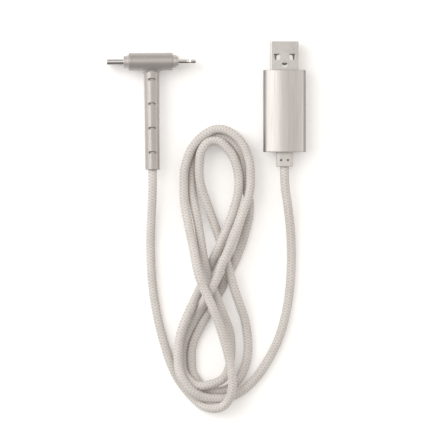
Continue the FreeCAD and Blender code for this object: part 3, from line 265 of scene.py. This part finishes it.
def braided_cord():
    """Tube that dips in the gaps of the braid, which lie in lines along it, half a pitch out of step."""
    places = even_steps(cord_line(), BRAID_PITCH / RINGS_PER_PITCH * MM)
    across = rings(places)
    vertices = []
    for row, (place, (side, up)) in enumerate(zip(places, across)):
        for column in range(BRAID_COLUMNS):
            angle = 2 * math.pi * column / BRAID_COLUMNS
            round_it = math.cos(math.pi * column / POINTS_PER_LINE)
            along_it = math.cos(2 * math.pi * row / RINGS_PER_PITCH)
            radius = (CORD_RADIUS - BRAID_RELIEF * max(0, -round_it * along_it)) * MM
            vertices.append(place + (side * math.cos(angle) + up * math.sin(angle)) * radius)
    faces = []
    phases = []
    for row in range(len(places) - 1):
        for column in range(BRAID_COLUMNS):
            corners = ((row, column), (row, column + 1), (row + 1, column + 1), (row + 1, column))
            faces.append([r * BRAID_COLUMNS + c % BRAID_COLUMNS for r, c in corners])
            lattice = [(c / POINTS_PER_LINE, 2 * r / RINGS_PER_PITCH) for r, c in corners]
            phases += [((u + v) / 2, (u - v) / 2) for u, v in lattice]
    last = (len(places) - 1) * BRAID_COLUMNS
    faces.append(list(range(BRAID_COLUMNS))[::-1])
    faces.append([last + column for column in range(BRAID_COLUMNS)])
    phases += [(0, 0)] * (2 * BRAID_COLUMNS)
    mesh = bpy.data.meshes.new("braided_cord")
    mesh.from_pydata(vertices, [], faces)
    layer = mesh.uv_layers.new(name="strands")
    layer.data.foreach_set("uv", [number for phase in phases for number in phase])
    mesh.polygons.foreach_set("use_smooth", [True] * len(mesh.polygons))
    mesh.update()
    cord = bpy.data.objects.new("braided_cord", mesh)
    bpy.context.scene.collection.objects.link(cord)
    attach(cord, "root")
    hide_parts("cord_head_lead", "cord_hank", "cord_host_lead")
    return cord


camera()
cord = braided_cord()


# Recesses of the two ends, each closed by a thin dark plate of painted shade on its floor

# Outlines of painted shade in the shell's two latch windows and in its notch, in the host end's frame.
LATCH_WINDOW_SHADE = ((-4.45, 6.82), (-1.95, 6.82), (-2.20, 6.48), (-3.10, 6.22), (-3.40, 5.75), (-3.50, 4.30),
                (-4.15, 4.30), (-4.25, 5.60))
NOTCH_SHADE = ((-1.20, 3.02), (1.20, 3.02), (1.17, 2.55), (0.85, 2.15), (0.35, 1.95), (-0.35, 1.95),
                (-0.85, 2.15), (-1.17, 2.55))
CONTACT_BLOCK_TOP = 6.95
DIMPLE_RADIUS = 0.46
DIMPLE_SPREAD = 2.9
DIMPLE_Y = -38.2
DIMPLE_FLOORS = (7.40, 2.55)
SLOT_FLOORS = (7.90, 3.05)
SLOT_COUNT = 4
SLOT_FIRST = -7.6
SLOT_PITCH = 10.3
# One side of the painted shade arch in a slot, from its foot to the slot's middle; the other side is its
# mirror image.
SHADE_ARCH_OUTSIDE = ((1.38, -0.42), (1.53, -0.10), (1.45, 0.25), (1.15, 0.46), (0.55, 0.52), (0.0, 0.52))
SHADE_ARCH_INSIDE = ((0.0, 0.26), (0.55, 0.24), (0.90, 0.10), (1.02, -0.15), (1.02, -0.42))
PLATE = 0.05


def mirrored(outline):
    """The same outline with left and right swapped."""
    return tuple((-x, y) for x, y in reversed(outline))


def shade_arch_outline():
    """Outline of the dark arch of painted shade on a slot's floor."""
    return SHADE_ARCH_OUTSIDE + mirrored(SHADE_ARCH_OUTSIDE)[1:] + mirrored(SHADE_ARCH_INSIDE) + SHADE_ARCH_INSIDE[1:]


def disc_outline(x, y, radius, corners=20):
    turns = [360 * corner / corners for corner in range(corners)]
    return tuple(polar((x, y), turn, radius) for turn in turns)


def turned(point, place, turn):
    """Point of an end's own frame in the part's frame, in metres."""
    x, y = polar(polar(place, turn, point[0]), turn + 90, point[1])
    return x * MM, y * MM


def painted_shade_plates(name, outlines, place, turn, floors):
    """Thin plates of painted shade with these outlines in an end's own frame, each upwards from its recess's
    floor.
    """
    mesh = bpy.data.meshes.new(name)
    form = bmesh.new()
    for floor_height in floors:
        for outline in outlines:
            low, high = [[form.verts.new((*turned(point, place, turn), height * MM)) for point in outline]
                         for height in (floor_height, floor_height + PLATE)]
            form.faces.new(low[::-1])
            form.faces.new(high)
            for number in range(len(outline)):
                following = (number + 1) % len(outline)
                form.faces.new((low[number], low[following], high[following], high[number]))
    bmesh.ops.recalc_face_normals(form, faces=form.faces)
    form.to_mesh(mesh)
    form.free()
    plates = bpy.data.objects.new(name, mesh)
    bpy.context.scene.collection.objects.link(plates)
    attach(plates, "root")
    return plates


painted_shades = [
    painted_shade_plates("latch_window_painted_shade", [LATCH_WINDOW_SHADE, mirrored(LATCH_WINDOW_SHADE)], HOST_PLACE, 0,
                  [CONTACT_BLOCK_TOP]),
    painted_shade_plates("notch_painted_shade", [NOTCH_SHADE], HOST_PLACE, 0, [CONTACT_BLOCK_TOP]),
    # Painted shade: dark discs on the floors of the strain relief's dimples.
    painted_shade_plates("relief_dimple_painted_shade", [disc_outline(x, DIMPLE_Y, DIMPLE_RADIUS)
                                  for x in (-DIMPLE_SPREAD / 2, DIMPLE_SPREAD / 2)],
                  HOST_PLACE, 0, DIMPLE_FLOORS),
    # Painted shade: dark arches on the floors of the stem's slots.
    painted_shade_plates("stem_slot_painted_shade", [tuple((x + STEM_OFFSET, y + SLOT_FIRST - number * SLOT_PITCH)
                                             for x, y in shade_arch_outline()) for number in range(SLOT_COUNT)],
                  HEAD_PLACE, HEAD_TURN, SLOT_FLOORS),
]


# Node helpers

def add(tree, kind, inputs=None, **settings):
    """New node with its settings, and its inputs set to a value or linked to a socket."""
    node = tree.nodes.new(kind)
    for name, setting in settings.items():
        setattr(node, name, setting)
    for name, source in (inputs or {}).items():
        if isinstance(source, bpy.types.NodeSocket):
            tree.links.new(source, node.inputs[name])
        else:
            node.inputs[name].default_value = source
    return node


def maths(tree, operation, first, second=0.0):
    return add(tree, "ShaderNodeMath", {0: first, 1: second}, operation=operation).outputs[0]


def spread(tree, source, low, high, to_low=0.0, to_high=1.0):
    """Source from low to high, laid over to_low to to_high and held there."""
    node = add(tree, "ShaderNodeMapRange", {"Value": source, "From Min": low, "From Max": high,
                                            "To Min": to_low, "To Max": to_high})
    return node.outputs["Result"]


def blend_colours(tree, share, first, second):
    return add(tree, "ShaderNodeMix", {0: share, 6: first, 7: second}, data_type="RGBA").outputs[2]


def opaque(colour):
    return (*colour, 1.0)


def group(name, inputs, outputs, fill):
    """Shader node group: fill gets the tree and its input sockets, and returns its output sockets."""
    tree = bpy.data.node_groups.new(name, "ShaderNodeTree")
    for label, kind, default in inputs:
        socket = tree.interface.new_socket(label, in_out="INPUT", socket_type=kind)
        socket.default_value = default
    for label, kind in outputs:
        tree.interface.new_socket(label, in_out="OUTPUT", socket_type=kind)
    entry = tree.nodes.new("NodeGroupInput")
    results = fill(tree, entry.outputs)
    leave = tree.nodes.new("NodeGroupOutput")
    for (label, kind), socket in zip(outputs, results):
        tree.links.new(socket, leave.inputs[label])
    return tree


def use(tree, made, **inputs):
    node = add(tree, "ShaderNodeGroup", node_tree=made)
    for name, source in inputs.items():
        socket = node.inputs[name.replace("_", " ")]
        if isinstance(source, bpy.types.NodeSocket):
            tree.links.new(source, socket)
        else:
            socket.default_value = source
    return node.outputs


FLOAT = "NodeSocketFloat"
COLOUR = "NodeSocketColor"


def object_noise(tree, scale, detail=2.0, stretch=(1, 1, 1)):
    """Noise fixed to the piece, with a scale in waves per millimetre."""
    places = add(tree, "ShaderNodeTexCoord").outputs["Object"]
    moved = add(tree, "ShaderNodeMapping", {"Vector": places, "Scale": stretch}).outputs[0]
    scaled = maths(tree, "MULTIPLY", scale, 1 / MM)
    return add(tree, "ShaderNodeTexNoise", {"Vector": moved, "Scale": scaled, "Detail": detail}).outputs[0]


def object_axis(tree, axis, origin):
    """Place along an axis of the part, in metres from an origin in millimetres."""
    places = add(tree, "ShaderNodeTexCoord").outputs["Object"]
    along = add(tree, "ShaderNodeSeparateXYZ", {0: places}).outputs[axis]
    return maths(tree, "SUBTRACT", along, origin * MM)


def fill_cast(tree, entry):
    """Uneven tone: cloudy and speckled together."""
    cloudy = object_noise(tree, 0.12, detail=3)
    speckled = object_noise(tree, entry["Speckle scale"])
    both = maths(tree, "ADD", maths(tree, "MULTIPLY", cloudy, 0.5), maths(tree, "MULTIPLY", speckled, 0.5))
    share = spread(tree, both, 0.35, 0.65)
    return [blend_colours(tree, share, entry["Dark"], entry["Light"]), share]


def fill_grain(tree, entry):
    """Fine grain: height for a bump, and a mask for roughness."""
    grain = object_noise(tree, entry["Scale"], detail=4)
    return [grain, spread(tree, grain, 0.3, 0.7)]


def fill_brush(tree, entry):
    """Fine lines along Y, from noise drawn out that way."""
    lines = object_noise(tree, entry["Scale"], detail=3, stretch=(1, 0.012, 1))
    broad = object_noise(tree, 0.7, stretch=(1, 0.02, 1))
    height = maths(tree, "ADD", maths(tree, "MULTIPLY", lines, 0.75), maths(tree, "MULTIPLY", broad, 0.25))
    return [height, spread(tree, height, 0.35, 0.65)]


CAST = group("Uneven tone", [("Dark", COLOUR, (0.5, 0.5, 0.5, 1)), ("Light", COLOUR, (0.6, 0.6, 0.6, 1)),
                             ("Speckle scale", FLOAT, 2.0)],
             [("Colour", COLOUR), ("Mask", FLOAT)], fill_cast)
GRAIN = group("Fine grain", [("Scale", FLOAT, 4.0)], [("Height", FLOAT), ("Mask", FLOAT)], fill_grain)
BRUSH = group("Brushed lines", [("Scale", FLOAT, 6.0)], [("Height", FLOAT), ("Mask", FLOAT)], fill_brush)


# Materials

def surface(name, fill, **constants):
    """Material with one Principled shader: constants on its own sockets, and fill links the rest."""
    material = bpy.data.materials.new(name)
    material.use_nodes = True
    tree = material.node_tree
    shader = tree.nodes["Principled BSDF"]
    for label, constant in constants.items():
        shader.inputs[label.replace("_", " ")].default_value = constant
    for label, socket in fill(tree).items():
        tree.links.new(socket, shader.inputs[label])
    return material


def bump(tree, height, distance, strength=1.0):
    node = add(tree, "ShaderNodeBump", {"Height": height, "Distance": distance * MM, "Strength": strength})
    return node.outputs[0]


def moulding(dark, light, rough):
    """Moulded or lacquered surface with a fine grain."""
    def fill(tree):
        tone = use(tree, CAST, Dark=opaque(dark), Light=opaque(light), Speckle_scale=1.5)
        grain = use(tree, GRAIN, Scale=5.0)
        return {
            "Base Color": tone["Colour"],
            "Roughness": spread(tree, grain["Mask"], 0, 1, rough - 0.04, rough + 0.05),
            "Normal": bump(tree, grain["Height"], 0.01),
        }
    return fill


def metal(dark, light, rough, grain_scale, depth):
    """Metal with an even grain, in waves per millimetre, that is depth mm deep."""
    def fill(tree):
        tone = use(tree, CAST, Dark=opaque(dark), Light=opaque(light), Speckle_scale=grain_scale / 3)
        grain = use(tree, GRAIN, Scale=grain_scale)
        return {
            "Base Color": tone["Colour"],
            "Roughness": spread(tree, grain["Mask"], 0, 1, rough - 0.05, rough + 0.05),
            "Normal": bump(tree, grain["Height"], depth),
        }
    return fill


BRIGHT_METAL = metal((0.60, 0.58, 0.565), (0.68, 0.66, 0.64), rough=0.12, grain_scale=8.0, depth=0.003)


def plated(middle, edge, shade):
    """Bright plug metal, with painted shade in the colour shade from edge mm on the -Y side of its middle
    line.
    """
    def fill(tree):
        results = BRIGHT_METAL(tree)
        off_middle = object_axis(tree, "Y", middle)
        shaded = spread(tree, off_middle, -edge * MM, -(edge + PLUG_SHADE_BLEND) * MM)
        results["Base Color"] = blend_colours(tree, shaded, results["Base Color"], opaque(shade))
        return results
    return fill


def brushed(dark, light, rough, sides):
    """Metal brushed along the barrel, with painted shade in the colour sides on its two narrow sides."""
    def fill(tree):
        lines = use(tree, BRUSH, Scale=5.0)
        tone = blend_colours(tree, lines["Mask"], opaque(dark), opaque(light))
        off_middle = maths(tree, "ABSOLUTE", object_axis(tree, "X", HOST_PLACE[0]))
        narrow = spread(tree, off_middle, BARREL_SIDE_SHADE_START * MM, BARREL_SIDE_SHADE_FULL * MM)
        tone = blend_colours(tree, narrow, tone, opaque(sides))
        return {
            "Base Color": tone,
            "Roughness": spread(tree, lines["Mask"], 0, 1, rough + 0.05, rough - 0.04),
            "Normal": bump(tree, lines["Height"], 0.006),
        }
    return fill


# Colours of the braid, and how far the painted shade in the lines between yarns, at the sides of a strand
# and in the gaps covers the yarn's own colour.
YARN_DARK = (0.65, 0.612, 0.58)
YARN_LIGHT = (0.75, 0.71, 0.675)
LINE_SHADE_COLOUR = (0.45, 0.42, 0.39)
LINE_SHADE_COVER = 0.2
SIDE_SHADE_COLOUR = (0.36, 0.33, 0.30)
SIDE_SHADE_COVER = 0.40
GAP_SHADE_COLOUR = (0.24, 0.22, 0.20)
GAP_SHADE_COVER = 0.42


def fill_braid(tree):
    """Strands that pass over and under each other: the mesh holds their two phases, in strand widths."""
    phase = add(tree, "ShaderNodeUVMap", uv_map="strands").outputs[0]
    parts = add(tree, "ShaderNodeSeparateXYZ", {0: phase})
    first = maths(tree, "ADD", parts.outputs["X"], 0.5)
    second = maths(tree, "ADD", parts.outputs["Y"], 0.5)
    parity = maths(tree, "ADD", maths(tree, "FLOOR", first), maths(tree, "FLOOR", second))
    over = maths(tree, "MODULO", maths(tree, "ABSOLUTE", parity), 2)
    first_in, second_in = maths(tree, "FRACT", first), maths(tree, "FRACT", second)
    across = add(tree, "ShaderNodeMix", {0: over, 2: first_in, 3: second_in}).outputs[0]
    off_first = maths(tree, "ABSOLUTE", maths(tree, "SUBTRACT", first_in, 0.5))
    off_second = maths(tree, "ABSOLUTE", maths(tree, "SUBTRACT", second_in, 0.5))
    off_across = maths(tree, "ABSOLUTE", maths(tree, "SUBTRACT", across, 0.5))
    gap = spread(tree, maths(tree, "ADD", off_first, off_second), 0.66, 0.95)
    side = spread(tree, off_across, 0.25, 0.5)
    yarns = maths(tree, "SINE", maths(tree, "MULTIPLY", across, 2 * math.pi * YARNS_PER_STRAND))
    yarn_mask = spread(tree, yarns, -1, 1)
    tone = use(tree, CAST, Dark=opaque(YARN_DARK), Light=opaque(YARN_LIGHT), Speckle_scale=1.2)["Colour"]
    # Painted shade: darker in the lines between yarns, towards the sides of a strand and in the gaps.
    line_shaded = blend_colours(tree, spread(tree, yarn_mask, 0, 0.5, LINE_SHADE_COVER, 0), tone, opaque(LINE_SHADE_COLOUR))
    side_shaded = blend_colours(tree, maths(tree, "MULTIPLY", side, SIDE_SHADE_COVER), line_shaded, opaque(SIDE_SHADE_COLOUR))
    gap_shaded = blend_colours(tree, maths(tree, "MULTIPLY", gap, GAP_SHADE_COVER), side_shaded, opaque(GAP_SHADE_COLOUR))
    crown = maths(tree, "SUBTRACT", 1, maths(tree, "MULTIPLY", side, side))
    height = maths(tree, "ADD", crown, maths(tree, "MULTIPLY", yarn_mask, 0.2))
    return {
        "Base Color": gap_shaded,
        "Roughness": spread(tree, gap, 0, 1, 0.62, 0.9),
        "Normal": bump(tree, maths(tree, "SUBTRACT", height, gap), distance=0.12, strength=0.65),
    }


BRAID = surface("braided_yarn", fill_braid, Sheen_Weight=0.15, Sheen_Roughness=0.5, Specular_IOR_Level=0.3)
MOULDING = surface("soft_grey_moulding", moulding((0.53, 0.495, 0.47), (0.58, 0.545, 0.52), rough=0.34),
                   Specular_IOR_Level=0.8, Coat_Weight=0.5, Coat_Roughness=0.25)
# The barrel's narrow sides get painted shade.
BARREL = surface("brushed_barrel", brushed((0.49, 0.463, 0.443), (0.57, 0.54, 0.52), rough=0.46,
                                           sides=(0.30, 0.28, 0.265)), Metallic=1.0)
SHELL = surface("matt_steel_sheet", metal((0.45, 0.428, 0.41), (0.57, 0.545, 0.525), rough=0.38,
                                          grain_scale=6.0, depth=0.02), Metallic=1.0)
# Both plugs get painted shade on the -Y side of their middle lines.
OVAL_PLUG = surface("bright_nickel_plug", plated(OVAL_PLUG_Y, edge=0.35, shade=(0.27, 0.255, 0.245)),
                    Metallic=1.0)
TAB_PLUG = surface("bright_nickel_tab", plated(TAB_PLUG_Y, edge=0.10, shade=(0.10, 0.094, 0.09)),
                   Metallic=1.0)
COLLAR = surface("satin_collar", moulding((0.50, 0.467, 0.445), (0.55, 0.514, 0.49), rough=0.33),
                 Metallic=0.42, Specular_IOR_Level=0.8)
LACQUER = surface("satin_lacquer", moulding((0.38, 0.354, 0.338), (0.42, 0.392, 0.375), rough=0.31),
                  Metallic=0.42, Specular_IOR_Level=0.8)
# Dark colour of the plates of painted shade in the recesses.
SHADE = surface("painted_recess_shade", moulding((0.11, 0.10, 0.093), (0.16, 0.147, 0.135), rough=0.6))
WHITE = surface("white_insulator", moulding((0.72, 0.71, 0.69), (0.78, 0.77, 0.75), rough=0.45))
BLACK = surface("black_moulding", moulding((0.018, 0.018, 0.018), (0.03, 0.03, 0.03), rough=0.4))
GOLD = surface("gold_contact", metal((0.75, 0.55, 0.24), (0.85, 0.66, 0.32), rough=0.25, grain_scale=8.0,
                                     depth=0.003), Metallic=1.0)
BOARD = surface("green_board", moulding((0.02, 0.12, 0.05), (0.03, 0.16, 0.07), rough=0.35), Coat_Weight=0.4)
JACKET = surface("smooth_jacket", moulding((0.60, 0.58, 0.55), (0.66, 0.64, 0.61), rough=0.5))
INSULATION = surface("wire_insulation", moulding((0.42, 0.03, 0.02), (0.52, 0.05, 0.03), rough=0.45))

FINISHES = {
    BARREL: ["barrel_sleeve"],
    SHELL: ["host_shell", "host_crimp_ferrule", "tee_crimp_ferrule"],
    OVAL_PLUG: ["oval_plug_shell", "oval_plug_latches"],
    TAB_PLUG: ["tab_plug_body"],
    LACQUER: ["tee_body"],
    COLLAR: ["oval_plug_collar", "tab_plug_collar"],
    MOULDING: ["host_strain_relief", "host_front_bezel"],
    WHITE: ["host_contact_block", "tab_plug_inserts", "tee_inner_mould", "host_inner_mould"],
    BLACK: ["oval_plug_insert", "tee_board_chips"],
    GOLD: ["host_contacts", "oval_plug_contacts", "tab_plug_contacts"],
    BOARD: ["tee_board"],
    JACKET: ["host_cord_core", "tee_cord_core"],
    INSULATION: ["host_wires", "tee_wires"],
}


def give_finish(thing, material):
    for slot in thing.material_slots:
        slot.material = material
    if not thing.material_slots:
        thing.data.materials.append(material)


give_finish(cord, BRAID)
# The plates of painted shade get the dark colour.
for plates in painted_shades:
    give_finish(plates, SHADE)
for material, names in FINISHES.items():
    for name in names:
        give_finish(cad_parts[name], material)


# Surface and light

FLOOR_COLOUR = (0.95, 0.935, 0.92)
FLOOR_GLOW = 0.19
SKY_COLOUR = (1.0, 0.975, 0.95)
SKY_LEVEL = 1.26
# How much dimmer the sky is low down at the front and the back, and how far round that starts and is full.
FRONT_DIMMING = 0.90
FRONT_FADE = (-0.02, -0.38)
BACK_DIMMING = 0.70
BACK_FADE = (0.45, 0.72)
# Point that the lamps face, in metres.
CABLE_MIDDLE = (0.004, -0.046, 0)


def floor():
    bpy.ops.mesh.primitive_plane_add(size=6, location=(0, 0, 0))
    plane = bpy.context.object
    plane.name = "floor"
    material = bpy.data.materials.new("pale_floor")
    material.use_nodes = True
    tree = material.node_tree
    tree.nodes.remove(tree.nodes["Principled BSDF"])
    diffuse = add(tree, "ShaderNodeBsdfDiffuse", {"Color": opaque(FLOOR_COLOUR)})
    rays = add(tree, "ShaderNodeLightPath").outputs
    seen = maths(tree, "MAXIMUM", rays["Is Camera Ray"], rays["Is Glossy Ray"])
    seen = maths(tree, "MAXIMUM", seen, rays["Is Transmission Ray"])
    strength = maths(tree, "MULTIPLY", seen, FLOOR_GLOW)
    glow = add(tree, "ShaderNodeEmission", {"Color": opaque((1, 1, 1)), "Strength": strength})
    both = add(tree, "ShaderNodeAddShader", {0: diffuse.outputs[0], 1: glow.outputs[0]})
    tree.links.new(both.outputs[0], tree.nodes["Material Output"].inputs["Surface"])
    plane.data.materials.append(material)


def area_light(name, place, size, power):
    """Rectangular lamp that points at the middle of the cable, with its place and size in metres."""
    data = bpy.data.lights.new(name, "AREA")
    data.shape = "RECTANGLE"
    data.size, data.size_y = size
    data.energy = power
    lamp = bpy.data.objects.new(name, data)
    lamp.location = place
    lamp.rotation_euler = (Vector(CABLE_MIDDLE) - Vector(place)).to_track_quat("-Z", "Y").to_euler()
    bpy.context.scene.collection.objects.link(lamp)


def sky(tree):
    """Light from all round: dim low down at the front and the back, where the cable's sides mirror it."""
    way = add(tree, "ShaderNodeTexCoord").outputs["Generated"]
    toward_back = add(tree, "ShaderNodeSeparateXYZ", {0: way}).outputs["Y"]
    front = spread(tree, toward_back, *FRONT_FADE)
    back = spread(tree, toward_back, *BACK_FADE)
    dimmed = maths(tree, "SUBTRACT", SKY_LEVEL, maths(tree, "MULTIPLY", front, FRONT_DIMMING))
    return maths(tree, "SUBTRACT", dimmed, maths(tree, "MULTIPLY", back, BACK_DIMMING))


def studio():
    world = bpy.data.worlds.new("studio")
    bpy.context.scene.world = world
    world.use_nodes = True
    tree = world.node_tree
    background = tree.nodes["Background"]
    background.inputs["Color"].default_value = opaque(SKY_COLOUR)
    tree.links.new(sky(tree), background.inputs["Strength"])
    area_light("key_light", place=(-0.69, 0.28, 0.63), size=(0.72, 1.1), power=5.15)
    area_light("fill_card", place=(0.98, -0.10, 0.26), size=(0.5, 0.3), power=0.5)


floor()
studio()
bpy.context.scene.view_settings.view_transform = "Standard"
